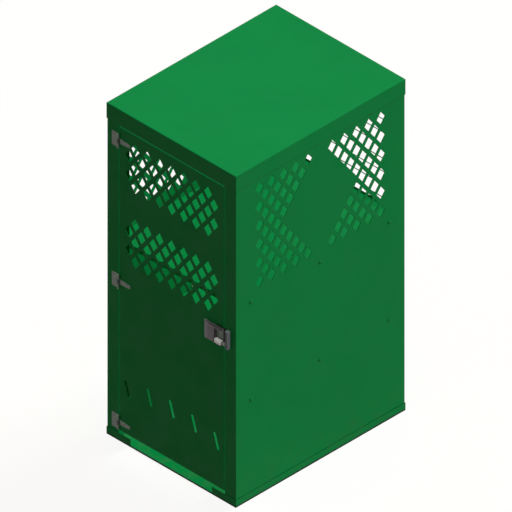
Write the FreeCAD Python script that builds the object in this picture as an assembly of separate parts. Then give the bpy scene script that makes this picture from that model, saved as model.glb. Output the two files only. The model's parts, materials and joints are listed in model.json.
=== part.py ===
import FreeCAD, Part
import math
import os

V = FreeCAD.Vector
X = V(1, 0, 0)
Y = V(0, 1, 0)
Z = V(0, 0, 1)

# Driving dimensions in millimetres. The door faces -Y, the hinges are at -X and +Z is up.
# The origin is on the ground under the middle of the cage.
body_w = 807.0            # across the outer faces of the two side panels
body_d = 1061.0           # from the front of the posts to the back edge of the side panels
overall_h = 1803.0        # from the ground to the top of the roof
sheet = 2.0               # steel sheet of the panels, posts, roof, tray, shelves and door
fold_r = 1.5              # inside radius of a fold in that sheet
cap_gap = 1.0             # play between the body and the roof or tray that goes round it
corner_r = 3.0            # outer radius of the folded edges of roof and door
shank_sides = 6           # facets of small shanks and of their holes
head_sides = 8            # facets of round heads
knuckle_sides = 12        # facets of hinge knuckles, their bores and the pins' heads

# Roof and tray
roof_skirt_h = 84.0
tray_flange_h = 40.0
tray_stub_l = 150.0       # front flange that stays at each corner, beside the open mouth
anchor_hole_r = 7.0
anchor_from_side = 53.0   # anchor hole to the outer face of the side panel
anchor_from_end = 75.0    # anchor hole to the front or back of the body

# Corner posts and header
jamb_w = 68.0             # front face of a front post
post_side_w = 40.0        # leg of a post that lies on the side panel
post_return = 40.0        # depth of the return beside the doorway
post_lip = 14.0
rear_flange_w = 45.0
rear_return = 20.0
header_return = 30.0

# Diamond vents
vent_w = 50.8
vent_h = 67.7
vent_pitch = 76.2         # between neighbours in a row
vent_row_step = 50.8      # between rows, which are staggered by half a pitch
side_vent_top = 139.0     # roof top to the first row on the side panels
side_vent_rows = 11
side_vent_margin = 120.0  # plain sheet between the last vent and the panel's front or back edge
blank_half_steps = 7      # half width of the plain diamond in the middle, in half pitches

# Shelves, carried by bolts through their side flanges
upper_shelf_z = 1058.0    # top face
lower_shelf_z = 527.0
shelf_setback = 44.0      # front edge behind the front of the body
shelf_flange_h = 25.0
shelf_lip_h = 22.0        # turned down at the front
shelf_rear_lip_h = 12.0   # turned up in front of the guard
shelf_bolt_rise = 12.0    # bolt above the shelf's top face
shelf_bolt_from_end = 96.5
shelf_clear = 2.0         # play round the rear posts
bolt_r = 4.0
bolt_head_r = 9.5
bolt_head_h = 4.5
bolt_head_flat_r = 5.0    # flat on top of the head
bolt_hole_clear = 0.3
bolt_tail = 2.0           # thread past the nut
nut_flats = 13.0
nut_h = 6.5
nut_clear = 0.1

# Rear guard of square bars welded to two upright strips
guard_pocket = 10.0       # depth at the back of the body that holds the guard
guard_strip_w = 25.0
guard_strip_t = 3.0
guard_bar = 3.2
guard_bar_pitch = 71.0
guard_bar_first = 102.0   # lowest bar above the ground
guard_end_gap = 10.0      # strip to the tray floor and to the roof sheet
guard_shelf_gap = 1.5     # rear edge of a shelf to the bars

# Door
door_gap = 4.0            # to the posts and the header
door_bottom_z = 55.0
door_header_drop = 91.0   # roof top to the lower edge of the header
door_depth = 28.0
door_lip = 35.0
door_vent_drop = 82.0     # door's top edge to the first row of vents
door_vent_margin = 37.0
door_band_rows = 5
door_band_gap_rows = 3    # rows left out between the two bands
slot_count = 5
slot_pitch = 140.0
slot_l = 92.0
slot_w = 16.0
slot_end_facets = 4
slot_lean = 17.0          # degrees from upright, tops towards the hinges
slot_rise = 278.0         # door's lower edge to the middle of the centre slot
slot_arch_r = 1200.0      # radius of the shallow arch on which the slots sit
stiffener_w = 44.0
stiffener_depth = 18.0
lower_stiffener_rise = 545.0  # door's lower edge to the middle of the lower stiffener
stiffener_end_gap = 0.5
stop_w = 20.0
stop_t = 2.5
stop_h = 50.0
stop_from_end = 300.0     # door's upper or lower edge to the middle of a stop
bumper_w = 14.0
bumper_h = 20.0
bumper_t = 4.0
bumper_clear = 0.3

# Tee hinges
hinge_top_drop = 77.0     # door's upper edge to the middle of the top hinge
hinge_bottom_rise = 45.0  # door's lower edge to the middle of the bottom hinge
hinge_plate = 3.0
leaf_w = 42.0
leaf_h = 76.0
leaf_corner = 5.0         # chamfer of the leaf's outer corners
strap_l = 72.0
strap_root_h = 28.0
strap_tip_h = 18.0
strap_corner = 5.0        # chamfer of the strap's tip
knuckle_r = 5.5
knuckle_h = 28.0          # the strap's knuckle, between the leaf's two
knuckle_gap = 0.4
knuckle_stand_off = 0.3   # knuckle to the face behind it
pin_r = 3.0
pin_clear = 0.05
pin_head_r = 4.5
pin_head_h = 2.0
leaf_rivet_near = 15.0    # one rivet near the pin and two further out
leaf_rivet_far = 32.0
leaf_rivet_up = 26.0      # the outer two, above and below the leaf's middle
strap_rivet_near = 34.0
strap_rivet_far = 58.0

# Rivets for the hinges and the latch
rivet_r = 2.4
rivet_head_r = 4.6
rivet_head_h = 2.2
rivet_flat_r = 2.3        # flat on top of the head
rivet_tail = 1.5          # past the last sheet
rivet_hole_clear = 0.1

# Latch with a sliding bolt, and its keeper on the right front post
latch_l = 119.0
latch_h = 86.0
latch_depth = 19.0
latch_plate_t = 2.0
latch_from_edge = 2.5     # plate to the door's edge
latch_flange = 16.0       # plate beside the cover, for two of the rivets
latch_drop = 775.0        # door's upper edge to the latch's
cover_l = 58.0            # pressed cover that guides the bolt; the rest is an open window
cover_wall = 3.0
cover_bevel = 2.5
cover_band = 20.0         # left end of the cover, set off by a groove
sill_h = 3.0              # bar under the window
head_h = 4.0              # bar over it
guide_t = 4.0
guide_span = 16.0         # between the two guides of the bolt
slide_h = 12.0            # flat bolt, height and thickness
slide_t = 8.0
slide_from_top = 71.0     # middle of the bolt below the latch's upper edge
slide_l = 110.0           # the bolt drawn back stops short of the keeper, which it enters when shot
slide_tail = 46.0         # bolt behind the window's guide when it is drawn back
slide_depth = 9.5         # middle of the bolt in front of the door
slide_clear = 0.1
slide_nose = 1.25
grip_w = 40.0
grip_h = 20.0
grip_back = 4.0           # rear face of the grip in front of the door
grip_depth = 17.0
grip_bevel = 2.0
grip_fit = 0.02           # grip on the bolt, held by a cross pin
grip_pin_r = 1.5
grip_groove_rise = 5.5    # grooves above and below the middle of the grip's face
groove_depth = 1.2
latch_rivet_in = 8.0      # rivets to the plate's edges
window_rivet_in = 31.0    # the window's rivets to the latch's upper and lower edges
keeper_w = 18.0
keeper_h = 94.0
keeper_depth = 19.0
keeper_wall = 3.0
keeper_bevel = 2.0
keeper_from_bolt = 5.0    # bolt tip, drawn back, to the keeper
screw_r = 2.5
screw_head_r = 4.5
screw_head_h = 3.0
screw_l = 5.5             # shank, through the post's sheet and into the keeper
screw_from_end = 14.0
screw_clear = 0.1

# Places that follow from those sizes
half_w = body_w / 2
front = -body_d / 2
back = body_d / 2
inner_x = half_w - sheet
roof_under = overall_h - sheet
doorway_x = inner_x - jamb_w
door_x = doorway_x - door_gap
header_z = overall_h - door_header_drop
door_top_z = header_z - door_gap
guard_face = back - guard_pocket
pin_x = -(doorway_x + door_x) / 2
pin_y = front - knuckle_r - knuckle_stand_off
hinge_heights = {
    "top": door_top_z - hinge_top_drop,
    "middle": (door_top_z - hinge_top_drop + door_bottom_z + hinge_bottom_rise) / 2,
    "bottom": door_bottom_z + hinge_bottom_rise,
}
latch_right = door_x - latch_from_edge
latch_left = latch_right - latch_l
latch_top_z = door_top_z - latch_drop
latch_bottom_z = latch_top_z - latch_h
latch_face = front - latch_depth
latch_back = front - latch_plate_t
cover_left = latch_left + latch_flange
window_left = cover_left + cover_l
slide_z = latch_top_z - slide_from_top
slide_tip = window_left - slide_tail + slide_l
slide_y = front - slide_depth
keeper_left = slide_tip + keeper_from_bolt
keeper_bottom_z = latch_bottom_z


def box(x0, x1, y0, y1, z0, z1):
    return Part.makeBox(x1 - x0, y1 - y0, z1 - z0, V(x0, y0, z0))


def rod(start, direction, radius, length):
    return Part.makeCylinder(radius, length, start, direction)


def fuse(shapes):
    return shapes[0].multiFuse(shapes[1:]).removeSplitter()


def cut(shape, tools):
    return shape.cut(Part.makeCompound(tools))


def mirrored(shape, normal):
    return shape.mirror(V(0, 0, 0), normal)


def placed(shape, point, direction):
    """Turn a shape made along +Z to a direction and bring its origin to a point."""
    shape.Placement = FreeCAD.Placement(point, FreeCAD.Rotation(Z, direction))
    return shape


def edges_at(shape, keep):
    """Edges whose middle passes the given test."""
    return [edge for edge in shape.Edges if keep(edge.CenterOfMass)]


def rounded_edges(shape, radius, keep):
    return shape.makeFillet(radius, edges_at(shape, keep))


def bevelled_edges(shape, size, keep):
    return shape.makeChamfer(size, edges_at(shape, keep))


def closed(points):
    return points + points[:1]


def facet_ring(radius, height, sides):
    turns = [2 * math.pi * (step + 0.5) / sides for step in range(sides)]
    return [V(radius * math.cos(turn), radius * math.sin(turn), height) for turn in turns]


def faceted(profile, sides):
    """Turned solid with flat facets and ends, from rings of (radius, height), the lowest first."""
    rings = [facet_ring(radius, height, sides) for radius, height in profile]
    faces = [Part.Face(Part.makePolygon(closed(ring))) for ring in (rings[0], rings[-1])]
    for lower, upper in zip(rings, rings[1:]):
        for step in range(sides):
            after = (step + 1) % sides
            corners = [lower[step], lower[after], upper[after], upper[step]]
            faces.append(Part.Face(Part.makePolygon(closed(corners))))
    return Part.Solid(Part.Shell(faces))


def facet_hole(point, direction, radius, length):
    """Tool for a small faceted hole, as far before the point as after it."""
    return placed(faceted([(radius, -length), (radius, length)], shank_sides), point, direction)


def headed(point, direction, shank_r, length, head):
    """Shank that goes back from a point, with a round head in front of it."""
    shank = faceted([(shank_r, -length), (shank_r, 0)], shank_sides)
    return placed(shank.fuse(faceted(head, head_sides)), point, direction)


def barrel(point, radius, height):
    """Upright knuckle or pin head with flat facets."""
    return placed(faceted([(radius, 0), (radius, height)], knuckle_sides), point, Z)


def bore(point, radius, height):
    """Tool whose facets touch a round pin of the given radius from outside."""
    return barrel(point - Z * pin_head_h, radius / math.cos(math.pi / knuckle_sides), height + 2 * pin_head_h)


def chain(points, radii):
    """Edges of an open polyline whose inner corners are rounded."""
    edges = []
    start = points[0]
    for index in range(1, len(points) - 1):
        corner = points[index]
        to_last = (points[index - 1] - corner).normalize()
        to_next = (points[index + 1] - corner).normalize()
        half = to_last.getAngle(to_next) / 2
        reach = radii[index - 1] / math.tan(half)
        middle_way = (to_last + to_next).normalize()
        centre = corner + middle_way * (radii[index - 1] / math.sin(half))
        first = corner + to_last * reach
        last = corner + to_next * reach
        edges.append(Part.LineSegment(start, first).toShape())
        edges.append(Part.Arc(first, centre - middle_way * radii[index - 1], last).toShape())
        start = last
    edges.append(Part.LineSegment(start, points[-1]).toShape())
    return edges


def folded(points, normal, length):
    """Sheet folded along a path of its outer face, with the metal on the path's left."""
    lefts = []
    for first, second in zip(points, points[1:]):
        lefts.append(normal.cross(second - first).normalize() * sheet)
    inside = [points[0] + lefts[0]]
    outer_radii = []
    inner_radii = []
    for index in range(1, len(points) - 1):
        before = (points[index] - points[index - 1]).normalize()
        inside.append(points[index] + lefts[index - 1] + lefts[index])
        towards_metal = normal.cross(before).dot(points[index + 1] - points[index]) > 0
        outer_radii.append(fold_r + sheet if towards_metal else fold_r)
        inner_radii.append(fold_r if towards_metal else fold_r + sheet)
    inside.append(points[-1] + lefts[-1])
    edges = chain(points, outer_radii) + chain(inside, inner_radii)
    edges.append(Part.LineSegment(points[0], inside[0]).toShape())
    edges.append(Part.LineSegment(points[-1], inside[-1]).toShape())
    section = Part.Face(Part.Wire(Part.__sortEdges__(edges)))
    return section.extrude(normal * length)


def diamond(centre, across):
    """Closed outline of one diamond vent."""
    side = across * (vent_w / 2)
    tip = Z * (vent_h / 2)
    return Part.makePolygon([centre + side, centre + tip, centre - side, centre - tip, centre + side])


def rivet(point, direction, grip):
    """Low round-headed rivet whose head sits at a point."""
    head = [(rivet_head_r, 0), (rivet_flat_r, rivet_head_h)]
    return headed(point, direction, rivet_r, grip + rivet_tail, head)


def rivet_hole(point, direction):
    """Tool for a rivet's hole, long enough for any of the stacks of sheet here."""
    return facet_hole(point, direction, rivet_r + rivet_hole_clear, hinge_plate + sheet + rivet_tail)


def base_tray():
    out_x = half_w + cap_gap + sheet
    out_y = back + cap_gap + sheet
    tray = box(-out_x, out_x, -out_y, out_y, 0, tray_flange_h)
    mouth = out_x - tray_stub_l
    tools = [
        box(-out_x + sheet, out_x - sheet, -out_y + sheet, out_y - sheet, sheet, tray_flange_h + sheet),
        box(-mouth, mouth, -out_y - sheet, front, sheet, tray_flange_h + sheet),
    ]
    for x, y in anchor_places():
        tools.append(rod(V(x, y, -sheet), Z, anchor_hole_r, 3 * sheet))
    return cut(tray, tools)


def anchor_places():
    x = half_w - anchor_from_side
    y = back - anchor_from_end
    return [(-x, -y), (x, -y), (-x, y), (x, y)]


def roof_cap():
    out_x = half_w + cap_gap + sheet
    out_y = back + cap_gap + sheet
    low = overall_h - roof_skirt_h
    roof = box(-out_x, out_x, -out_y, out_y, low, overall_h)
    roof = rounded_edges(roof, corner_r, lambda middle: middle.z > overall_h - sheet)
    hollow = box(-out_x + sheet, out_x - sheet, -out_y + sheet, out_y - sheet, low - sheet, roof_under)
    return roof.cut(hollow)


def side_vent_places():
    """Staggered rows of vents about the panel's middle, which leave a plain diamond there."""
    half_pitch = vent_pitch / 2
    last = int((back - side_vent_margin - vent_w / 2) / half_pitch)
    middle_row = (side_vent_rows - 1) // 2
    places = []
    for row in range(side_vent_rows):
        z = overall_h - side_vent_top - row * vent_row_step
        for step in range(blank_half_steps - abs(row - middle_row), last + 1, 2):
            places.append((-step * half_pitch, z))
            places.append((step * half_pitch, z))
    return places


def shelf_bolt_places():
    """Depth and height of the shelf bolts in either side panel."""
    end = back - shelf_bolt_from_end
    places = []
    for shelf_z in (upper_shelf_z, lower_shelf_z):
        for y in (-end, 0.0, end):
            places.append((y, shelf_z + shelf_bolt_rise))
    return places


def right_side_panel():
    corners = [(front, sheet), (back, sheet), (back, roof_under), (front, roof_under), (front, sheet)]
    wires = [Part.makePolygon([V(inner_x, y, z) for y, z in corners])]
    for y, z in side_vent_places():
        wires.append(diamond(V(inner_x, y, z), Y))
    for y, z in shelf_bolt_places():
        ring = facet_ring(bolt_r + bolt_hole_clear, 0, shank_sides)
        wires.append(placed(Part.makePolygon(closed(ring)), V(inner_x, y, z), X))
    return Part.makeFace(wires, "Part::FaceMakerBullseye").extrude(X * sheet)


def front_left_post():
    path = [
        V(-inner_x, front + post_side_w, sheet),
        V(-inner_x, front, sheet),
        V(-doorway_x, front, sheet),
        V(-doorway_x, front + post_return, sheet),
        V(-doorway_x - post_lip, front + post_return, sheet),
    ]
    return folded(path, Z, roof_under - sheet)


def hinged_post():
    return cut(front_left_post(), [rivet_hole(point, Y * -1) for point in leaf_rivet_points()])


def latch_post():
    post = mirrored(front_left_post(), X)
    holes = [facet_hole(point, Y, screw_r + screw_clear, 2 * sheet) for point in screw_points()]
    return cut(post, holes)


def rear_left_post():
    path = [
        V(-inner_x + rear_flange_w, guard_face - rear_return, sheet),
        V(-inner_x + rear_flange_w, guard_face, sheet),
        V(-inner_x, guard_face, sheet),
        V(-inner_x, guard_face - post_side_w, sheet),
    ]
    return folded(path, Z, roof_under - sheet)


def front_header():
    path = [
        V(-doorway_x, front + header_return, header_z),
        V(-doorway_x, front, header_z),
        V(-doorway_x, front, roof_under),
        V(-doorway_x, front + header_return, roof_under),
    ]
    return folded(path[::-1], X, 2 * doorway_x)


def shelf(top):
    """Sheet with a lip down at the front, a lip up at the back and flanges up along the side panels."""
    near = front + shelf_setback
    far = guard_face + guard_strip_t - guard_shelf_gap
    high = top + shelf_rear_lip_h
    path = [V(-inner_x, far - sheet, high), V(-inner_x, far - sheet, top)]
    path += [V(-inner_x, near, top), V(-inner_x, near, top - shelf_lip_h)]
    plate = folded(path, X, 2 * inner_x)
    notch_x = inner_x - rear_flange_w - shelf_clear
    notch_y = guard_face - post_side_w - shelf_clear
    notches = []
    flanges = []
    holes = []
    low = top - 2 * sheet
    for side in (-1, 1):
        outer = sorted((side * notch_x, side * (inner_x + sheet)))
        notches.append(box(outer[0], outer[1], notch_y, far + sheet, low, high + sheet))
        wall = sorted((side * inner_x, side * (inner_x - sheet)))
        start = near + fold_r + sheet
        flanges.append(box(wall[0], wall[1], start, notch_y, top - sheet, top + shelf_flange_h))
        for y, z in shelf_bolt_places():
            point = V(side * inner_x, y, z)
            holes.append(facet_hole(point, X * side, bolt_r + bolt_hole_clear, 2 * sheet))
    return cut(fuse([cut(plate, notches)] + flanges), holes)


def shelf_bolt(point, outward):
    """Round-headed bolt from outside the cage, through the panel and the shelf's flange."""
    head = [(bolt_head_r, 0), (bolt_head_flat_r, bolt_head_h)]
    return headed(point, outward, bolt_r, 2 * sheet + nut_h + bolt_tail, head)


def hex_nut(point, direction):
    nut = faceted([(nut_flats / math.sqrt(3), 0), (nut_flats / math.sqrt(3), nut_h)], 6)
    nut = placed(nut, point, direction)
    return nut.cut(facet_hole(point, direction, bolt_r + nut_clear, 2 * nut_h))


def shelf_fasteners():
    bolts = []
    nuts = []
    for side in (-1, 1):
        for y, z in shelf_bolt_places():
            bolts.append(shelf_bolt(V(side * half_w, y, z), X * side))
            nuts.append(hex_nut(V(side * (inner_x - sheet), y, z), X * -side))
    return Part.makeCompound(bolts), Part.makeCompound(nuts)


def rear_guard():
    """Upright strips on the rear posts, and the square bars welded across them."""
    low = sheet + guard_end_gap
    high = roof_under - guard_end_gap
    bar_y = guard_face + guard_strip_t
    middle = inner_x - rear_flange_w / 2
    edge = guard_strip_w / 2
    strips = []
    for side in (-1, 1):
        x = side * middle
        strips.append(box(x - edge, x + edge, guard_face, bar_y, low, high))
    bars = []
    z = guard_bar_first
    while z < overall_h - roof_skirt_h - guard_bar:
        half = guard_bar / 2
        bars.append(box(-middle - edge, middle + edge, bar_y, bar_y + guard_bar, z - half, z + half))
        z += guard_bar_pitch
    return Part.makeCompound(strips), Part.makeCompound(bars)


def door_vent_places():
    """Two bands of staggered rows, the longer rows as wide as the door lets them be."""
    most = int((2 * door_x - 2 * door_vent_margin - vent_w) / vent_pitch) + 1
    band_start = door_band_rows + door_band_gap_rows
    places = []
    for row in list(range(door_band_rows)) + list(range(band_start, band_start + door_band_rows)):
        count = most if row % 2 else most - 1
        z = door_top_z - door_vent_drop - row * vent_row_step
        for column in range(count):
            places.append(((column - (count - 1) / 2) * vent_pitch, z))
    return places


def vent_slot(x, z):
    """Tool for one leaning slot with rounded ends."""
    edge = slot_w / 2
    straight = slot_l / 2 - edge
    outline = []
    for end in (1, -1):
        for step in range(slot_end_facets + 1):
            turn = math.pi * step / slot_end_facets
            outline.append(V(end * edge * math.cos(turn), 0, end * (straight + edge * math.sin(turn))))
    tool = Part.Face(Part.makePolygon(closed(outline))).extrude(Y * (3 * sheet))
    tool.rotate(V(0, 0, 0), Y, -slot_lean)
    tool.translate(V(x, front - sheet, z))
    return tool


def vent_slots():
    tools = []
    for index in range(slot_count):
        x = (index - (slot_count - 1) / 2) * slot_pitch
        drop = slot_arch_r - math.sqrt(slot_arch_r * slot_arch_r - x * x)
        tools.append(vent_slot(x, door_bottom_z + slot_rise - drop))
    return tools


def door_inside(near, far, wall):
    """Space inside the door's edges, less a wall all round."""
    return box(-door_x + wall, door_x - wall, near, far, door_bottom_z + wall, door_top_z - wall)


def door_panel():
    """Pan door: front sheet, four returns and a lip turned in all round the back."""
    rear = front + door_depth
    pan = box(-door_x, door_x, front, rear, door_bottom_z, door_top_z)
    pan = rounded_edges(pan, corner_r, lambda middle: middle.y < front + sheet)
    near = front + sheet
    tools = [door_inside(near, rear - sheet, sheet), door_inside(near, rear + sheet, sheet + door_lip)]
    for x, z in door_vent_places():
        tools.append(Part.Face(diamond(V(x, front - sheet, z), X)).extrude(Y * (3 * sheet)))
    tools += vent_slots()
    for point in strap_rivet_points() + latch_rivet_points():
        tools.append(rivet_hole(point, Y * -1))
    return cut(pan, tools)


def door_stiffener(middle_z):
    """Channel across the inside of the door, its edges welded to the front sheet."""
    start = -door_x + sheet + stiffener_end_gap
    near = front + sheet
    deep = near + stiffener_depth
    low = middle_z - stiffener_w / 2
    high = middle_z + stiffener_w / 2
    path = [V(start, near, low), V(start, deep, low), V(start, deep, high), V(start, near, high)]
    return folded(path, X, -2 * start)


def upper_stiffener_z():
    """Middle of the plain stretch between the two bands of vents."""
    rows_down = door_band_rows - 1 + (door_band_gap_rows + 1) / 2
    return door_top_z - door_vent_drop - rows_down * vent_row_step


def door_stops():
    """Tabs on the latch post and the rubber pads that the door's lip closes against."""
    tabs = []
    pads = []
    pad_y = front + door_depth + bumper_clear
    tab_y = pad_y + bumper_t
    pad_x = doorway_x - stop_w / 2
    pad = bumper_w / 2
    for z in (door_bottom_z + stop_from_end, door_top_z - stop_from_end):
        low = z - stop_h / 2
        tabs.append(box(doorway_x - stop_w, doorway_x, tab_y, tab_y + stop_t, low, low + stop_h))
        low = z - bumper_h / 2
        pads.append(box(pad_x - pad, pad_x + pad, pad_y, tab_y, low, low + bumper_h))
    return Part.makeCompound(tabs), Part.makeCompound(pads)


def leaf_rivets_at(z):
    """Heads of the rivets through one hinge's leaf."""
    face = front - hinge_plate
    points = [V(pin_x - leaf_rivet_near, face, z)]
    for up in (-leaf_rivet_up, leaf_rivet_up):
        points.append(V(pin_x - leaf_rivet_far, face, z + up))
    return points


def strap_rivets_at(z):
    """Heads of the rivets through one hinge's strap."""
    return [V(pin_x + x, front - hinge_plate, z) for x in (strap_rivet_near, strap_rivet_far)]


def leaf_rivet_points():
    return [point for z in hinge_heights.values() for point in leaf_rivets_at(z)]


def strap_rivet_points():
    return [point for z in hinge_heights.values() for point in strap_rivets_at(z)]


def hinge_leaf(z):
    """Upright leaf on the post, with a knuckle at each end."""
    low = z - leaf_h / 2
    high = z + leaf_h / 2
    left = pin_x - leaf_w
    corner = leaf_corner
    outline = [V(pin_x, front, low), V(left + corner, front, low), V(left, front, low + corner)]
    outline += [V(left, front, high - corner), V(left + corner, front, high), V(pin_x, front, high)]
    plate = Part.Face(Part.makePolygon(closed(outline))).extrude(Y * -hinge_plate)
    room = knuckle_r + knuckle_gap
    gap = knuckle_h / 2 + knuckle_gap
    slot = box(pin_x - room, pin_x + room, pin_y - room, front + sheet, z - gap, z + gap)
    foot = V(pin_x, pin_y, low)
    holes = [bore(foot, pin_r + pin_clear, leaf_h), slot]
    holes += [rivet_hole(point, Y * -1) for point in leaf_rivets_at(z)]
    return cut(fuse([plate, barrel(foot, knuckle_r, leaf_h)]), holes)


def hinge_strap(z):
    """Tapered strap on the door, with the middle knuckle."""
    root = strap_root_h / 2
    tip = strap_tip_h / 2
    end = pin_x + strap_l
    corner = strap_corner
    outline = [V(pin_x, front, z - root), V(end - corner, front, z - tip), V(end, front, z - tip + corner)]
    outline += [V(end, front, z + tip - corner), V(end - corner, front, z + tip), V(pin_x, front, z + root)]
    plate = Part.Face(Part.makePolygon(closed(outline))).extrude(Y * -hinge_plate)
    foot = V(pin_x, pin_y, z - knuckle_h / 2)
    holes = [bore(foot, pin_r + pin_clear, knuckle_h)]
    holes += [rivet_hole(point, Y * -1) for point in strap_rivets_at(z)]
    return cut(fuse([plate, barrel(foot, knuckle_r, knuckle_h)]), holes)


def hinge_pin(z):
    """Round pin with a head on the upper knuckle."""
    foot = V(pin_x, pin_y, z - leaf_h / 2)
    return rod(foot, Z, pin_r, leaf_h).fuse(barrel(foot + Z * leaf_h, pin_head_r, pin_head_h))


def rivets(points, grip):
    return Part.makeCompound([rivet(point, Y * -1, grip) for point in points])


def latch_rivet_points():
    """Rivets through the latch's plate: two in its flange and two in the window."""
    flange_x = latch_left + latch_rivet_in
    window_x = latch_right - latch_rivet_in
    points = []
    for x, inset in ((flange_x, latch_rivet_in), (window_x, window_rivet_in)):
        for z in (latch_bottom_z + inset, latch_top_z - inset):
            points.append(V(x, latch_back, z))
    return points


def latch_plate():
    plate = box(latch_left, latch_right, latch_back, front, latch_bottom_z, latch_top_z)
    return cut(plate, [rivet_hole(point, Y * -1) for point in latch_rivet_points()])


def latch_cover():
    """Pressed box on the plate, with two walls that guide the bolt."""
    cover = box(cover_left, window_left, latch_face, latch_back, latch_bottom_z, latch_top_z)
    cover = bevelled_edges(cover, cover_bevel, lambda middle: middle.y < latch_face + cover_wall)
    low = latch_bottom_z + cover_wall
    high = latch_top_z - cover_wall
    near = latch_face + cover_wall
    chamber_right = window_left - guide_t
    chamber = box(cover_left + cover_wall, chamber_right, near, latch_back, low, high)
    rib_right = chamber_right - guide_span
    rib = box(rib_right - guide_t, rib_right, near, latch_back, low, high)
    way = flat_bar(cover_left + cover_wall, window_left + sheet, slide_clear)
    start = V(cover_left + cover_band, latch_face, latch_bottom_z - sheet)
    line = groove(start, Z * (latch_h + 2 * sheet), X)
    return cut(cover.cut(chamber.cut(rib)), [way, line])


def flat_bar(start, end, play):
    """Length of the bolt's section, with play all round."""
    thick = slide_t / 2 + play
    high = slide_h / 2 + play
    return box(start, end, slide_y - thick, slide_y + thick, slide_z - high, slide_z + high)


def latch_bars():
    """Sill and head that frame the window."""
    sill = box(window_left, latch_right, latch_face, latch_back, latch_bottom_z, latch_bottom_z + sill_h)
    head = box(window_left, latch_right, latch_face, latch_back, latch_top_z - head_h, latch_top_z)
    return Part.makeCompound([sill, head])


def latch_bolt():
    """Flat bolt, drawn back."""
    bolt = flat_bar(slide_tip - slide_l, slide_tip, 0)
    bolt = bevelled_edges(bolt, slide_nose, lambda middle: middle.x > slide_tip - slide_nose)
    return bolt.cut(grip_pin())


def bolt_grip():
    """Block on the bolt, with grooves across its face for the fingers."""
    near = front - grip_back
    face = near - grip_depth
    low = slide_z - grip_h / 2
    left = latch_right - grip_w
    grip = box(left, latch_right, face, near, low, low + grip_h)
    grip = bevelled_edges(grip, grip_bevel, lambda middle: middle.y < face + grip_bevel)
    tools = [flat_bar(left - sheet, latch_right + sheet, grip_fit), grip_pin()]
    for z in (slide_z - grip_groove_rise, slide_z + grip_groove_rise):
        tools.append(groove(V(left - sheet, face, z), X * (grip_w + 2 * sheet), Z))
    return cut(grip, tools)


def groove(point, run, across):
    """Tool for a vee groove in a front face, which starts at a point and has a given run."""
    deep = Y * groove_depth
    wide = across * groove_depth
    section = Part.makePolygon(closed([point + deep, point + wide, point - deep, point - wide]))
    return Part.Face(section).extrude(run)


def grip_pin():
    """Pin from the grip's face through the bolt, which holds the two together."""
    pin = faceted([(grip_pin_r, 0), (grip_pin_r, grip_depth)], shank_sides)
    return placed(pin, V(latch_right - grip_w / 2, front - grip_back - grip_depth, slide_z), Y)


def latch_keeper():
    """Box on the post, open towards the door, that the bolt enters when it is shot."""
    right = keeper_left + keeper_w
    face = front - keeper_depth
    low = keeper_bottom_z
    high = low + keeper_h
    keeper = box(keeper_left, right, face, front, low, high)
    keeper = bevelled_edges(keeper, keeper_bevel, lambda middle: middle.y < face + keeper_bevel)
    wall = keeper_wall
    pocket = box(keeper_left - wall, right - wall, face + wall, front - wall, low + wall, high - wall)
    reach = sheet + wall
    threads = [facet_hole(point, Y, screw_r + screw_clear, reach) for point in screw_points()]
    return cut(keeper, [pocket] + threads)


def screw_points():
    """Heads of the keeper's screws, on the hidden face of the post's front sheet."""
    x = keeper_left + keeper_w / 2
    low = keeper_bottom_z + screw_from_end
    high = keeper_bottom_z + keeper_h - screw_from_end
    return [V(x, front + sheet, z) for z in (low, high)]


def keeper_screws():
    head = [(screw_head_r, 0), (screw_head_r, screw_head_h)]
    return Part.makeCompound([headed(point, Y, screw_r, screw_l, head) for point in screw_points()])


def all_parts():
    parts = {
        "base_tray": base_tray(),
        "roof_cap": roof_cap(),
        "right_side_panel": right_side_panel(),
        "left_side_panel": mirrored(right_side_panel(), X),
        "front_left_post": hinged_post(),
        "front_right_post": latch_post(),
        "rear_left_post": rear_left_post(),
        "rear_right_post": mirrored(rear_left_post(), X),
        "front_header": front_header(),
        "upper_shelf": shelf(upper_shelf_z),
        "lower_shelf": shelf(lower_shelf_z),
        "door_panel": door_panel(),
        "upper_door_stiffener": door_stiffener(upper_stiffener_z()),
        "lower_door_stiffener": door_stiffener(door_bottom_z + lower_stiffener_rise),
        "hinge_leaf_rivets": rivets(leaf_rivet_points(), hinge_plate + sheet),
        "hinge_strap_rivets": rivets(strap_rivet_points(), hinge_plate + sheet),
        "latch_plate": latch_plate(),
        "latch_cover": latch_cover(),
        "latch_bars": latch_bars(),
        "latch_rivets": rivets(latch_rivet_points(), latch_plate_t + sheet),
        "latch_bolt": latch_bolt(),
        "bolt_grip": bolt_grip(),
        "grip_pin": grip_pin(),
        "latch_keeper": latch_keeper(),
        "keeper_screws": keeper_screws(),
    }
    parts["shelf_bolts"], parts["shelf_nuts"] = shelf_fasteners()
    parts["guard_strips"], parts["guard_bars"] = rear_guard()
    parts["door_stop_tabs"], parts["door_bumpers"] = door_stops()
    for place, z in hinge_heights.items():
        parts[place + "_hinge_leaf"] = hinge_leaf(z)
        parts[place + "_hinge_strap"] = hinge_strap(z)
        parts[place + "_hinge_pin"] = hinge_pin(z)
    return parts


os.makedirs("parts", exist_ok=True)
for name, shape in all_parts().items():
    shape.exportStep("parts/" + name + ".step")
    print(name, len(shape.Solids), shape.isValid(), round(shape.Volume, 1))
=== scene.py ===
import json
import math

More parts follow.
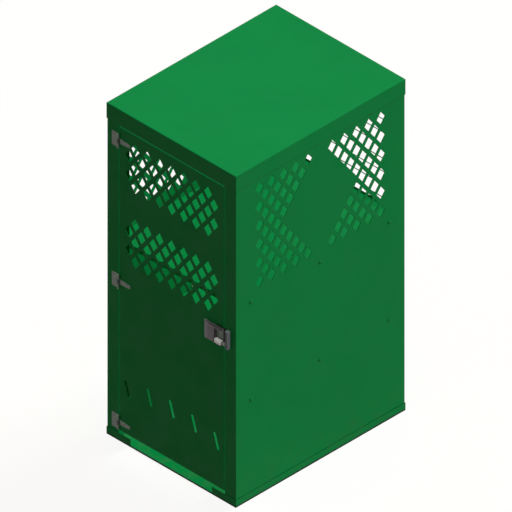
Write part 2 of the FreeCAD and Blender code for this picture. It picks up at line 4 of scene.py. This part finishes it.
import bmesh
import bpy
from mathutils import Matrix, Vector


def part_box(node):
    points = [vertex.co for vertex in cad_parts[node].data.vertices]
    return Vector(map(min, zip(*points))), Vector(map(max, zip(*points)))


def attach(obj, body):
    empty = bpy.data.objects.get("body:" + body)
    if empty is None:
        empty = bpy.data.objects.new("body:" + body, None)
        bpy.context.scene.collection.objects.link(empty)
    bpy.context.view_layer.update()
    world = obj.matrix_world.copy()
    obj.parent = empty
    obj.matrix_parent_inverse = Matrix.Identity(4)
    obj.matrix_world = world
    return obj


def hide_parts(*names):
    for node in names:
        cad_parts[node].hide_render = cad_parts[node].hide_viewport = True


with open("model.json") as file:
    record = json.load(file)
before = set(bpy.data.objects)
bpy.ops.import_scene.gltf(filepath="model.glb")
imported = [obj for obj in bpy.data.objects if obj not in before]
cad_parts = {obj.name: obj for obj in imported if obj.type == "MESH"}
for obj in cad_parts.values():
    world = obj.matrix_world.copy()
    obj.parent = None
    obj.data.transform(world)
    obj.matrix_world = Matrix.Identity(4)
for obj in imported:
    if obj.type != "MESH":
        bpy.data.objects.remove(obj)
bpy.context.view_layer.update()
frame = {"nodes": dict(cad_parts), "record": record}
nodes = frame["nodes"]
slots = {row["node"]: row["material_slot"] for row in frame["record"]["subparts"]}

# Lengths are in metres and angles in degrees.

green = (0.0022, 0.245, 0.056)
bolt_green = (0.004, 0.19, 0.04)
bare_edge = (0.006, 0.035, 0.014)     # where paint draws back from a sharp edge
ground_dust = (0.10, 0.16, 0.08)
# dark colour of the shade painted into the latch gap and along the tray's lower edges
shade_dark = (0.012, 0.012, 0.015)
sheet_edge = 0.0035                   # width of the thin paint along the edges of sheets
bar_edge = 0.0008                     # and of bars, bolts and weld beads
steel_edge = 0.0008                   # width of the rubbed metal along the edges of plated steel

highlight_end_w = 0.020                # left end of the latch's cover, as far as its groove, which gets a painted highlight
knuckle_shade_w = 0.011                      # reach of the painted shade round a hinge's middle knuckle
knuckle_shade_h = 0.020
gap_shade_depth = 0.020                   # reach of the painted shade in the latch gap behind the door's face
foot_shade_w = 0.008                        # painted shade along the tray's lower edges
foot_shade_h = 0.010

shelf_bolt_r = 0.004
hinge_plate_t = 0.003
hinge_bevel = 0.0005
hinge_corner_r = 0.006
knuckle_gap = 0.0004
knuckle_bore_r = 0.00305
pin_r = 0.003
strap_tip = 0.009                     # half the strap's width at its tip
strap_lean = 8                        # turn of the strap's long edges
pad_round = 0.0013

bead_r = 0.0021
guard_bead_r = 0.0015
drop_pitch = 0.0024                   # length of one drop of weld metal
guard_bead_inset = 0.003              # strip's edge to the end of a bead
stop_bead_inset = 0.004
post_stitches = 9
post_stitch_l = 0.034
stiffener_stitches = 6
stiffener_stitch_l = 0.032

floor_size = 30.0                     # half the floor's side
floor_gap = 0.0005
floor_bounce = (0.17, 0.13, 0.095)    # the floor as it lights the cage
floor_pale = (0.43, 0.43, 0.43)       # and as it is seen, with its glow
floor_glow = 0.60
room_tint = (1.0, 0.76, 0.55)
room_level = 0.16

view_turn = 45.0                      # the three axes show at one scale
view_rise = math.degrees(math.asin(1 / math.sqrt(3)))
view_width = 2.276
view_centre = Vector((0.0, 0.0, 0.902))
view_distance = 8.0
view_depth = 60.0


def hinge_axis(spot):
    """Centre of a hinge's pin, as (x, y)."""
    low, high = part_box(spot + "_hinge_pin")
    return 0.5 * (low.x + high.x), 0.5 * (low.y + high.y)


# Shader nodes

def add(tree, kind, links=None, **settings):
    """Add a shader node. Links give its inputs a socket or a value."""
    made = tree.nodes.new(kind)
    for key, value in settings.items():
        setattr(made, key, value)
    for key, value in (links or {}).items():
        if isinstance(value, bpy.types.NodeSocket):
            tree.links.new(value, made.inputs[key])
        else:
            made.inputs[key].default_value = value
    return made


def rgb(*colour):
    """Colour for a socket, which holds an alpha too."""
    return (*colour, 1.0)


def shade(colour, level):
    """Colour made lighter or darker."""
    return rgb(*[min(1.0, level * channel) for channel in colour])


def new_material(name):
    made = bpy.data.materials.new(name)
    made.use_nodes = True
    return made, made.node_tree, made.node_tree.nodes["Principled BSDF"]


def place(tree):
    """Point on the surface, in the frame of the cage at rest."""
    return add(tree, "ShaderNodeTexCoord").outputs["Object"]


def axis(tree, where, name):
    return add(tree, "ShaderNodeSeparateXYZ", {0: where}).outputs[name]


def noise(tree, where, scale, detail=3.0, rough=0.5):
    links = {"Vector": where, "Scale": scale, "Detail": detail, "Roughness": rough}
    return add(tree, "ShaderNodeTexNoise", links).outputs["Fac"]


def spread(tree, value, low, high, to_low=0.0, to_high=1.0):
    """Map a range of values to another one, and keep within it."""
    links = {"Value": value, "From Min": low, "From Max": high, "To Min": to_low, "To Max": to_high}
    return add(tree, "ShaderNodeMapRange", links).outputs["Result"]


def calc(tree, operation, first, second=0.0):
    return add(tree, "ShaderNodeMath", {0: first, 1: second}, operation=operation).outputs[0]


def mixed(tree, factor, first, second, blend="MIX"):
    links = {0: factor, 6: first, 7: second}
    return add(tree, "ShaderNodeMix", links, data_type="RGBA", blend_type=blend).outputs[2]


def within(tree, value, low, high, soft):
    """1 where a value lies between two limits, which have soft ends."""
    off = calc(tree, "ABSOLUTE", calc(tree, "SUBTRACT", value, 0.5 * (low + high)))
    half = 0.5 * (high - low)
    return spread(tree, off, half + soft, half - soft)


def edge_mask(tree, radius):
    """Near 1 along edges and 0 on flats, and the softened normal that it came from."""
    soft = add(tree, "ShaderNodeBevel", {"Radius": radius}, samples=6).outputs[0]
    true = add(tree, "ShaderNodeNewGeometry").outputs["Normal"]
    level = add(tree, "ShaderNodeVectorMath", {0: soft, 1: true}, operation="DOT_PRODUCT").outputs["Value"]
    return spread(tree, level, 0.995, 0.90), soft


def crevice(tree, reach):
    """Near 1 in gaps and inner corners, 0 in the open, from ambient occlusion; it marks where shade is
    painted.
    """
    made = add(tree, "ShaderNodeAmbientOcclusion", {"Distance": reach}, samples=6)
    return spread(tree, made.outputs["AO"], 0.7, 0.15)


def bump(tree, height, distance, strength, normal=None):
    links = {"Height": height, "Distance": distance, "Strength": strength}
    if normal is not None:
        links["Normal"] = normal
    return add(tree, "ShaderNodeBump", links).outputs[0]


# Materials

def latch_gap_shade(tree, where):
    """1 in the gap between latch and keeper, on door and post, where shade is painted."""
    low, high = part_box("latch_keeper")
    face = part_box("door_panel")[0].y
    side = within(tree, axis(tree, where, "X"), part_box("latch_cover")[1].x, low.x, 0.001)
    level = within(tree, axis(tree, where, "Z"), low.z, high.z, 0.006)
    depth = within(tree, axis(tree, where, "Y"), face - gap_shade_depth, face + gap_shade_depth, 0.002)
    return calc(tree, "MULTIPLY", calc(tree, "MULTIPLY", side, level), depth)


def tray_foot_shade(tree, where):
    """1 along the tray's lower edges and on the sill of its mouth, where contact shade is painted."""
    low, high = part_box("base_tray")
    within_w = within(tree, axis(tree, where, "X"), low.x + foot_shade_w, high.x - foot_shade_w, 0.002)
    within_d = within(tree, axis(tree, where, "Y"), low.y + foot_shade_w, high.y - foot_shade_w, 0.002)
    rim = calc(tree, "SUBTRACT", 1.0, calc(tree, "MULTIPLY", within_w, within_d))
    return calc(tree, "MULTIPLY", rim, spread(tree, axis(tree, where, "Z"), foot_shade_h, 0.6 * foot_shade_h))


def sheet_shade_marks(tree, where):
    """Painted shade on the sheets, in the latch gap and along the tray's lower edges, made patchy."""
    both = calc(tree, "MAXIMUM", latch_gap_shade(tree, where), tray_foot_shade(tree, where))
    return calc(tree, "MULTIPLY", both, spread(tree, noise(tree, where, scale=90.0), 0.3, 0.5, 0.7, 1.0))


def powder_coat(name, colour, edge, shade_mark=None):
    """Sprayed and baked paint: orange peel, faint cloudiness, thin dark edges and a little dust low down,
    with shade painted into gaps and corners and onto marked spots.
    """
    made, tree, shader = new_material(name)
    where = place(tree)
    cloud = spread(tree, noise(tree, where, scale=3.2, detail=4.0), 0.3, 0.7)
    tone = mixed(tree, cloud, shade(colour, 0.955), shade(colour, 1.04))
    speck = spread(tree, noise(tree, where, scale=420.0, detail=2.0), 0.35, 0.65, 0.97, 1.03)
    grained = mixed(tree, 1.0, tone, speck, blend="MULTIPLY")
    low_down = spread(tree, axis(tree, where, "Z"), 0.22, 0.0, 0.0, 0.28)
    patchy = spread(tree, noise(tree, where, scale=18.0, detail=5.0, rough=0.6), 0.45, 0.75)
    dust = calc(tree, "MULTIPLY", low_down, patchy)
    dusted = mixed(tree, dust, grained, rgb(*ground_dust))
    edges, soft = edge_mask(tree, edge)
    uneven = spread(tree, noise(tree, where, scale=70.0, detail=4.0, rough=0.6), 0.25, 0.50, 0.0, 0.85)
    worn = mixed(tree, calc(tree, "MULTIPLY", edges, uneven), dusted, rgb(*bare_edge))
    # Painted shade: gaps and inner corners darkened towards a quarter of the paint's colour.
    shade_amount = calc(tree, "MULTIPLY", crevice(tree, reach=0.012), 0.75)
    tone = mixed(tree, shade_amount, worn, shade(colour, 0.25))
    # Painted shade: marked spots mixed towards a dark colour.
    if shade_mark:
        tone = mixed(tree, shade_mark(tree, where), tone, rgb(*shade_dark))
    tree.links.new(tone, shader.inputs["Base Color"])
    satin = spread(tree, noise(tree, where, scale=9.0), 0.3, 0.7, 0.40, 0.52)
    tree.links.new(calc(tree, "ADD", satin, dust), shader.inputs["Roughness"])
    peel = noise(tree, where, scale=520.0, detail=1.5)
    peeled = bump(tree, peel, distance=0.0004, strength=0.12, normal=soft)
    tree.links.new(peeled, shader.inputs["Normal"])
    shader.inputs["Specular IOR Level"].default_value = 0.05
    return made


def knuckle_shade_mask(tree, where):
    """1 on the middle knuckles of the three hinges, which stand one above another at equal distances; shade
    is painted there.
    """
    low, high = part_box("bottom_hinge_strap")
    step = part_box("middle_hinge_strap")[0].z - low.z
    pin_x = hinge_axis("bottom")[0]
    half = 0.75 * knuckle_shade_w
    near = within(tree, axis(tree, where, "X"), pin_x - half, pin_x + half, 0.25 * knuckle_shade_w)
    rise = calc(tree, "SUBTRACT", axis(tree, where, "Z"), 0.5 * (low.z + high.z))
    level = calc(tree, "PINGPONG", rise, 0.5 * step)
    return calc(tree, "MULTIPLY", near, spread(tree, level, knuckle_shade_h, 0.5 * knuckle_shade_h))


def latch_end_highlight(tree, where):
    """More than 0 on the left end of the latch's cover, where a highlight is painted."""
    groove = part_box("latch_cover")[0].x + highlight_end_w
    return spread(tree, axis(tree, where, "X"), groove + 0.0005, groove - 0.0005, 0.0, 0.32)


def keeper_highlight(tree, where):
    """More than 0 towards the keeper's right edge and on its right side, where a highlight is painted."""
    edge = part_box("latch_keeper")[1].x
    return spread(tree, axis(tree, where, "X"), edge - 0.008, edge - 0.001, 0.0, 0.25)


def grip_highlight(tree, where):
    """1 on the bolt's grip, where a highlight is painted."""
    low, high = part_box("bolt_grip")
    return within(tree, axis(tree, where, "X"), low.x, high.x, 0.0005)


def plated_steel(name, dark, light, metallic, rough, scale, gloss=0.5, shade_mark=None, painted_highlight=None):
    """Plated or blackened steel: mottled tone, fine rolling lines, rubbed edges, a painted highlight where
    one is asked for, and painted shade in the corners and on marked spots.
    """
    made, tree, shader = new_material(name)
    where = place(tree)
    # bright: lighter tone for the rubbed edges and for any painted highlight
    bright = shade(light, 2.2)
    mottle = spread(tree, noise(tree, where, scale, detail=4.0, rough=0.6), 0.3, 0.7)
    tone = mixed(tree, mottle, rgb(*dark), rgb(*light))
    # Painted highlight: the marked area mixed towards the bright tone.
    if painted_highlight:
        tone = mixed(tree, painted_highlight(tree, where), tone, bright)
    edges, soft = edge_mask(tree, steel_edge)
    rubbed = spread(tree, noise(tree, where, scale=160.0), 0.35, 0.65, 0.0, 0.6)
    worn = mixed(tree, calc(tree, "MULTIPLY", edges, rubbed), tone, bright)
    # Painted shade: corners and any marked spots darkened towards a dark copy of the light tone.
    shade_amount = crevice(tree, reach=0.006)
    if shade_mark:
        shade_amount = calc(tree, "MAXIMUM", shade_amount, shade_mark(tree, where))
    shaded_tone = mixed(tree, calc(tree, "MULTIPLY", shade_amount, 0.85), worn, shade(light, 0.12))
    tree.links.new(shaded_tone, shader.inputs["Base Color"])
    shader.inputs["Metallic"].default_value = metallic
    shader.inputs["Specular IOR Level"].default_value = gloss
    tree.links.new(spread(tree, mottle, 0.0, 1.0, rough, rough + 0.14), shader.inputs["Roughness"])
    stretched = add(tree, "ShaderNodeMapping", {"Vector": where, "Scale": (40.0, 900.0, 900.0)}).outputs[0]
    rolled = noise(tree, stretched, scale=1.0, detail=2.0)
    tree.links.new(bump(tree, rolled, distance=0.0002, strength=0.15, normal=soft), shader.inputs["Normal"])
    return made


def black_rubber(name):
    """Rubber with fine pores and a pale bloom."""
    made, tree, shader = new_material(name)
    where = place(tree)
    bloom = spread(tree, noise(tree, where, scale=60.0, detail=4.0), 0.35, 0.7)
    tone = mixed(tree, bloom, rgb(0.012, 0.012, 0.013), rgb(0.035, 0.035, 0.034))
    tree.links.new(tone, shader.inputs["Base Color"])
    tree.links.new(spread(tree, bloom, 0.0, 1.0, 0.72, 0.9), shader.inputs["Roughness"])
    pores = noise(tree, where, scale=700.0)
    tree.links.new(bump(tree, pores, distance=0.0003, strength=0.3), shader.inputs["Normal"])
    shader.inputs["Specular IOR Level"].default_value = 0.3
    return made


bar_paint = powder_coat("bar_powder_coat", green, bar_edge)
# the keeper carries a painted highlight towards its right edge
blued_steel = plated_steel(
    "blued_steel", dark=(0.100, 0.113, 0.130), light=(0.150, 0.170, 0.190),
    metallic=0.1, rough=0.42, scale=70.0, gloss=0.1, painted_highlight=keeper_highlight)
looks = {
    # the sheets carry painted shade in the latch gap and along the tray's lower edges
    "green_paint": powder_coat("green_powder_coat", green, sheet_edge, shade_mark=sheet_shade_marks),
    "painted_bolt": powder_coat("bolt_powder_coat", bolt_green, bar_edge),
    # the hinges carry painted shade round their middle knuckles
    "hinge_steel": plated_steel(
        "hinge_zinc", dark=(0.060, 0.081, 0.061), light=(0.140, 0.180, 0.138),
        metallic=0.5, rough=0.42, scale=90.0, shade_mark=knuckle_shade_mask),
    # the latch carries a painted highlight on its cover's left end
    "latch_steel": plated_steel(
        "latch_dark_steel", dark=(0.050, 0.042, 0.046), light=(0.092, 0.080, 0.088),
        metallic=0.5, rough=0.38, scale=70.0, painted_highlight=latch_end_highlight),
    # the bolt carries a painted highlight on its grip
    "bolt_steel": plated_steel(
        "bright_steel", dark=(0.15, 0.15, 0.15), light=(0.25, 0.25, 0.255),
        metallic=0.3, rough=0.30, scale=110.0, painted_highlight=grip_highlight),
    "zinc": plated_steel(
        "zinc_plate", dark=(0.25, 0.25, 0.23), light=(0.42, 0.42, 0.40),
        metallic=0.9, rough=0.34, scale=130.0),
    "rubber": black_rubber("black_rubber"),
}
own_looks = {"guard_bars": bar_paint, "latch_keeper": blued_steel}     # unlike the rest of their slots
for name, thing in nodes.items():
    held = thing.material_slots[0]
    held.link = "OBJECT"
    held.material = own_looks.get(name, looks[slots[name]])


# Meshes

def islands(node):
    """Corners of each separate solid in a node."""
    mesh = bmesh.new()
    mesh.from_mesh(nodes[node].data)
    bmesh.ops.remove_doubles(mesh, verts=mesh.verts, dist=1e-6)
    left = dict.fromkeys(mesh.verts)
    groups = []
    while left:
        todo = [left.popitem()[0]]
        group = []
        while todo:
            corner = todo.pop()
            group.append(corner.co.copy())
            for edge in corner.link_edges:
                other = edge.other_vert(corner)
                if other in left:
                    del left[other]
                    todo.append(other)
        groups.append(group)
    mesh.free()
    return groups


def spans(node):
    """Lowest and highest corner of each separate solid in a node."""
    found = []
    for corners in islands(node):
        rows = list(zip(*corners))
        found.append((Vector([min(row) for row in rows]), Vector([max(row) for row in rows])))
    return found


def join(mesh, rings, closed=False):
    """Faces between neighbouring rings, also from last to first if closed. A ring may be one point."""
    for lower, upper in zip(rings, rings[1:] + rings[:1] if closed else rings[1:]):
        sides = max(len(lower), len(upper))
        for step in range(sides):
            after = (step + 1) % sides
            corners = [lower[step % len(lower)], lower[after % len(lower)]]
            corners += [upper[after % len(upper)], upper[step % len(upper)]]
            mesh.faces.new(list(dict.fromkeys(corners)))


def spokes(outward, sides):
    """Unit vectors round an axis at equal turns."""
    across = outward.orthogonal().normalized()
    other = outward.cross(across)
    turns = [2 * math.pi * step / sides for step in range(sides)]
    return [across * math.cos(turn) + other * math.sin(turn) for turn in turns]


def lathe(mesh, base, outward, profile, sides=28, closed=False):
    """Turn a profile of (radius, height) about an axis through a point."""
    rings = []
    for radius, height in profile:
        centre = base + outward * height
        reach = [spoke * radius for spoke in spokes(outward, sides)] if radius else [Vector()]
        rings.append([mesh.verts.new(centre + step) for step in reach])
    join(mesh, rings, closed)


def dome(radius, height, base=0.0, steps=7):
    """Profile of a low rounded head with a short upright rim, which starts at a base height."""
    rim = 0.18 * height
    points = [(radius, base), (radius, base + rim)]
    for step in range(1, steps):
        turn = 0.5 * math.pi * step / steps
        points.append((radius * math.cos(turn), base + rim + (height - rim) * math.sin(turn)))
    points.append((0.0, base + height))
    return points


def new_piece(name, mesh, body, node=None, slot=None, look=None):
    """Object on a body, which stands for a CAD node and has its slot, or has a slot of its own."""
    slot = slot or slots[node]
    bmesh.ops.recalc_face_normals(mesh, faces=mesh.faces)
    data = bpy.data.meshes.new(name)
    mesh.to_mesh(data)
    mesh.free()
    data.shade_smooth()
    data.set_sharp_from_angle(angle=math.radians(40))
    data.materials.append(look or looks[slot])
    thing = bpy.data.objects.new(name, data)
    bpy.context.scene.collection.objects.link(thing)
    if node:
        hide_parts(node)
    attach(thing, body)


# Round fasteners in the places of the faceted ones

def round_fasteners(node, name, body, direction, look=None):
    """Smooth domed rivets or bolts, whose heads point away from the middle of the cage."""
    mesh = bmesh.new()
    for corners in islands(node):
        outward = Vector(direction)
        if corners[0].dot(outward) < 0:
            outward.negate()
        rings = {}
        for corner in corners:
            rings.setdefault(round(corner.dot(outward), 5), []).append(corner)
        tail, top = min(rings), max(rings)
        foot = sum(rings[tail], Vector()) / len(rings[tail])
        reach = {}
        for level, ring in rings.items():
            reach[level] = max((corner - foot - outward * (level - tail)).length for corner in ring)
        seat = max(rings, key=lambda level: (round(reach[level], 6), level))
        shank, chamfer = reach[tail], 0.15 * reach[tail]
        profile = [(0.0, 0.0), (shank - chamfer, 0.0), (shank, chamfer), (shank, seat - tail)]
        lathe(mesh, foot, outward, profile + dome(reach[seat], top - seat, seat - tail))
    new_piece(name, mesh, body, node, look=look)


def hex_nut(mesh, base, outward, flats, height):
    """Nut with chamfered corners and a clear bore."""
    seat_r = 0.475 * flats
    rings = [[], [], [], [], [], []]
    for step, spoke in enumerate(spokes(outward, 36)):
        off = (10 * step + 30) % 60 - 30
        corner_r = 0.5 * flats / math.cos(math.radians(off))
        chamfer = (corner_r - seat_r) * math.tan(math.radians(30))
        profile = [(shelf_bolt_r, 0.0), (seat_r, 0.0), (corner_r, chamfer)]
        profile += [(radius, height - rise) for radius, rise in reversed(profile)]
        for ring, (radius, rise) in zip(rings, profile):
            ring.append(mesh.verts.new(base + outward * rise + spoke * radius))
    join(mesh, rings, closed=True)


def chamfered_nuts():
    """Nuts on the shelf bolts, inside the cage."""
    mesh = bmesh.new()
    for low, high in spans("shelf_nuts"):
        size = high - low
        base = 0.5 * (low + high)
        base.x = max(low.x, high.x, key=abs)
        inward = Vector((-math.copysign(1.0, base.x), 0, 0))
        hex_nut(mesh, base, inward, min(size.y, size.z), size.x)
    new_piece("shelf_hex_nuts", mesh, "cabinet", "shelf_nuts")


def soft_pads():
    """Rubber pads with rounded edges."""
    mesh = bmesh.new()
    for low, high in spans("door_bumpers"):
        made = bmesh.ops.create_cube(mesh, size=1.0)["verts"]
        for corner in made:
            corner.co = [low[side] if corner.co[side] < 0 else high[side] for side in range(3)]
        edges = list(dict.fromkeys(edge for corner in made for edge in corner.link_edges))
        bmesh.ops.bevel(mesh, geom=edges, offset=pad_round, segments=4, profile=0.5, affect="EDGES")
    new_piece("door_bumper_pads", mesh, "cabinet", "door_bumpers")


dark_steel = looks["latch_steel"]
round_fasteners("hinge_leaf_rivets", "hinge_leaf_rivet_domes", "cabinet", (0, -1, 0), dark_steel)
round_fasteners("hinge_strap_rivets", "hinge_strap_rivet_domes", "door", (0, -1, 0), dark_steel)
round_fasteners("latch_rivets", "latch_rivet_domes", "door", (0, -1, 0))
round_fasteners("shelf_bolts", "shelf_bolt_domes", "cabinet", (1, 0, 0))
chamfered_nuts()
soft_pads()


# Tee hinges with rolled knuckles

def arc(centre_x, centre_z, start, stop, steps=6):
    """Points of a plate's round corner, as (x, z)."""
    points = []
    for step in range(steps + 1):
        turn = math.radians(start + (stop - start) * step / steps)
        across, up = hinge_corner_r * math.cos(turn), hinge_corner_r * math.sin(turn)
        points.append((centre_x + across, centre_z + up))
    return points


def inset(outline, distance):
    """Outline moved inwards. Its points run anticlockwise."""
    points = [Vector(point) for point in outline]
    moved = []
    for before, point, after in zip(points[-1:] + points[:-1], points, points[1:] + points[:1]):
        first = (point - before).orthogonal().normalized()
        second = (after - point).orthogonal().normalized()
        way = (first + second).normalized()
        moved.append(point + way * (distance / way.dot(first)))
    return moved


def plate(mesh, outline, back):
    """Flat plate that stands in front of a face, with its front edges bevelled."""
    front = back - hinge_plate_t
    layers = [(outline, back), (outline, front + hinge_bevel), (inset(outline, hinge_bevel), front)]
    rings = [[mesh.verts.new((x, y, z)) for x, z in points] for points, y in layers]
    join(mesh, rings)
    mesh.faces.new(rings[0])
    mesh.faces.new(rings[-1])


def knuckle(mesh, foot, radius, height):
    """Rolled eye of a hinge, open for its pin."""
    rim = radius - hinge_bevel
    profile = [(knuckle_bore_r, 0.0), (rim, 0.0), (radius, hinge_bevel), (radius, height - hinge_bevel)]
    profile += [(rim, height), (knuckle_bore_r, height)]
    lathe(mesh, Vector(foot), Vector((0, 0, 1)), profile, sides=32, closed=True)


def hinge_leaf(spot):
    """Plate on the post with a knuckle above and below the strap's."""
    pin_x, pin_y = hinge_axis(spot)
    low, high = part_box(spot + "_hinge_leaf")
    strap_low, strap_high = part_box(spot + "_hinge_strap")
    first, last = strap_low.z - knuckle_gap, strap_high.z + knuckle_gap
    radius = high.x - pin_x
    throat = pin_x - radius - knuckle_gap
    corner_x = low.x + hinge_corner_r
    outline = arc(corner_x, low.z + hinge_corner_r, 180, 270)
    outline += [(pin_x, low.z), (pin_x, first), (throat, first)]
    outline += [(throat, last), (pin_x, last), (pin_x, high.z)]
    outline += arc(corner_x, high.z - hinge_corner_r, 90, 180)
    mesh = bmesh.new()
    plate(mesh, outline, high.y)
    knuckle(mesh, (pin_x, pin_y, low.z), radius, first - low.z)
    knuckle(mesh, (pin_x, pin_y, last), radius, high.z - last)
    new_piece(spot + "_hinge_rolled_leaf", mesh, "cabinet", spot + "_hinge_leaf")


def hinge_strap(spot):
    """Tapered plate on the door with the middle knuckle."""
    pin_x, pin_y = hinge_axis(spot)
    low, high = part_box(spot + "_hinge_strap")
    middle = 0.5 * (low.z + high.z)
    corner_x = high.x - hinge_corner_r
    corner_z = strap_tip - hinge_corner_r
    outline = [(pin_x, low.z)] + arc(corner_x, middle - corner_z, 270 + strap_lean, 360)
    outline += arc(corner_x, middle + corner_z, 0, 90 - strap_lean) + [(pin_x, high.z)]
    mesh = bmesh.new()
    plate(mesh, outline, high.y)
    knuckle(mesh, (pin_x, pin_y, low.z), pin_x - low.x, high.z - low.z)
    new_piece(spot + "_hinge_rolled_strap", mesh, "door", spot + "_hinge_strap")


def hinge_pin(spot):
    """Round pin with a domed head."""
    pin_x, pin_y = hinge_axis(spot)
    low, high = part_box(spot + "_hinge_pin")
    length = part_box(spot + "_hinge_leaf")[1].z - low.z
    profile = [(0.0, 0.0), (pin_r - hinge_bevel, 0.0), (pin_r, hinge_bevel), (pin_r, length)]
    profile += dome(high.x - pin_x, high.z - low.z - length, length)
    mesh = bmesh.new()
    lathe(mesh, Vector((pin_x, pin_y, low.z)), Vector((0, 0, 1)), profile, sides=32)
    new_piece(spot + "_hinge_round_pin", mesh, "cabinet", spot + "_hinge_pin")


for spot in ("top", "middle", "bottom"):
    hinge_leaf(spot)
    hinge_strap(spot)
    hinge_pin(spot)


# Painted weld beads

def bead(mesh, start, end, radius=bead_r):
    """Rippled bead along an inner corner, with a swelling for each drop of metal."""
    run = Vector(end) - Vector(start)
    steps = 3 * max(3, round(run.length / drop_pitch))
    profile = [(0.0, 0.0)]
    for step in range(1, steps):
        share = step / steps
        taper = math.sqrt(min(1.0, 8 * min(share, 1 - share)))
        ripple = 1.0 - 0.10 * (step % 3)
        profile.append((radius * taper * ripple, share * run.length))
    profile.append((0.0, run.length))
    lathe(mesh, Vector(start), run.normalized(), profile, sides=8)


def stitches(mesh, start, end, count, length):
    """Short beads at equal distances along a line."""
    start, end = Vector(start), Vector(end)
    half = 0.5 * length * (end - start).normalized()
    for step in range(count):
        middle = start.lerp(end, (step + 0.5) / count)
        bead(mesh, middle - half, middle + half)


def weld_guard(mesh):
    """Beads above and below each bar, where it crosses an upright strip."""
    for strip_low, strip_high in spans("guard_strips"):
        left, right = strip_low.x + guard_bead_inset, strip_high.x - guard_bead_inset
        for low, high in spans("guard_bars"):
            for z in (low.z, high.z):
                bead(mesh, (left, low.y, z), (right, low.y, z), guard_bead_r)


def weld_posts(mesh):
    """Stitches between the posts' side legs and the side panels."""
    walls = {"left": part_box("left_side_panel")[1].x, "right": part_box("right_side_panel")[0].x}
    for side, x in walls.items():
        for end in ("front", "rear"):
            low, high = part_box(end + "_" + side + "_post")
            y = high.y if end == "front" else low.y
            stitches(mesh, (x, y, low.z), (x, y, high.z), post_stitches, post_stitch_l)


def weld_stops(mesh):
    """A bead behind each stop tab, against the post's return."""
    for low, high in spans("door_stop_tabs"):
        bead(mesh, (high.x, high.y, low.z + stop_bead_inset), (high.x, high.y, high.z - stop_bead_inset))


def weld_stiffeners(mesh):
    """Stitches along both edges of each channel inside the door."""
    for name in ("upper_door_stiffener", "lower_door_stiffener"):
        low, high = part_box(name)
        for z in (low.z, high.z):
            stitches(mesh, (low.x, low.y, z), (high.x, low.y, z), stiffener_stitches, stiffener_stitch_l)


def weld(name, body, *jobs):
    """One piece of all the beads on a body."""
    mesh = bmesh.new()
    for job in jobs:
        job(mesh)
    new_piece(name, mesh, body, slot="green_paint", look=bar_paint)


weld("cabinet_weld_beads", "cabinet", weld_guard, weld_posts, weld_stops)
weld("door_weld_beads", "door", weld_stiffeners)


# Floor, light and camera

def seen_rays(tree):
    """1 for rays that show the surroundings: camera, glossy and transmission rays."""
    path = add(tree, "ShaderNodeLightPath")
    two = calc(tree, "MAXIMUM", path.outputs["Is Camera Ray"], path.outputs["Is Glossy Ray"])
    return calc(tree, "MAXIMUM", two, path.outputs["Is Transmission Ray"])


def make_floor():
    """Wide floor just under the cage, which looks white and gives little light back."""
    mesh = bmesh.new()
    bmesh.ops.create_grid(mesh, x_segments=2, y_segments=2, size=floor_size)
    data = bpy.data.meshes.new("floor")
    mesh.to_mesh(data)
    mesh.free()
    floor = bpy.data.objects.new("floor", data)
    floor.location.z = -floor_gap
    bpy.context.scene.collection.objects.link(floor)
    made, tree, shader = new_material("pale_floor")
    tree.nodes.remove(shader)
    dim = add(tree, "ShaderNodeBsdfDiffuse", {"Color": rgb(*floor_bounce)})
    pale = add(tree, "ShaderNodeBsdfDiffuse", {"Color": rgb(*floor_pale)})
    glow = add(tree, "ShaderNodeEmission", {"Color": rgb(1, 1, 1), "Strength": floor_glow})
    shown = add(tree, "ShaderNodeAddShader", {0: pale.outputs[0], 1: glow.outputs[0]})
    mix = add(tree, "ShaderNodeMixShader", {0: seen_rays(tree), 1: dim.outputs[0], 2: shown.outputs[0]})
    tree.links.new(mix.outputs[0], tree.nodes["Material Output"].inputs["Surface"])
    data.materials.append(made)


def make_world():
    """Dim warm light from all round, seen as white."""
    world = bpy.data.worlds.new("studio")
    world.use_nodes = True
    bpy.context.scene.world = world
    tree = world.node_tree
    back = tree.nodes["Background"]
    shown = seen_rays(tree)
    tree.links.new(mixed(tree, shown, rgb(*room_tint), rgb(1, 1, 1)), back.inputs["Color"])
    tree.links.new(spread(tree, shown, 0.0, 1.0, room_level, 1.0), back.inputs["Strength"])


def make_sun(name, towards, softness, shadow):
    """Soft light from a direction, whose length is the level on a face turned to it."""
    data = bpy.data.lights.new(name, "SUN")
    data.use_shadow = shadow
    data.energy = math.pi * Vector(towards).length
    data.angle = math.radians(softness)
    lamp = bpy.data.objects.new(name, data)
    lamp.rotation_euler = Vector(towards).to_track_quat("Z", "Y").to_euler()
    bpy.context.scene.collection.objects.link(lamp)


def make_camera():
    """Parallel view from the front right and above."""
    turn, rise = math.radians(view_turn), math.radians(view_rise)
    away = Vector((math.sin(turn) * math.cos(rise), -math.cos(turn) * math.cos(rise), math.sin(rise)))
    data = bpy.data.cameras.new("camera")
    data.type = "ORTHO"
    data.ortho_scale = view_width
    data.clip_end = view_depth
    camera = bpy.data.objects.new("camera", data)
    camera.location = view_centre + away * view_distance
    camera.rotation_euler = away.to_track_quat("Z", "Y").to_euler()
    bpy.context.scene.collection.objects.link(camera)
    bpy.context.scene.camera = camera


make_floor()
make_world()
make_sun("fill_light", towards=(0.325, 0.05, 0.67), softness=5.0, shadow=False)
make_sun("back_light", towards=(0.095, 0.5, 0.13), softness=25.0, shadow=True)
make_sun("left_light", towards=(-0.25, 0.05, 0.0), softness=5.0, shadow=False)
make_camera()
bpy.context.scene.view_settings.view_transform = "Standard"
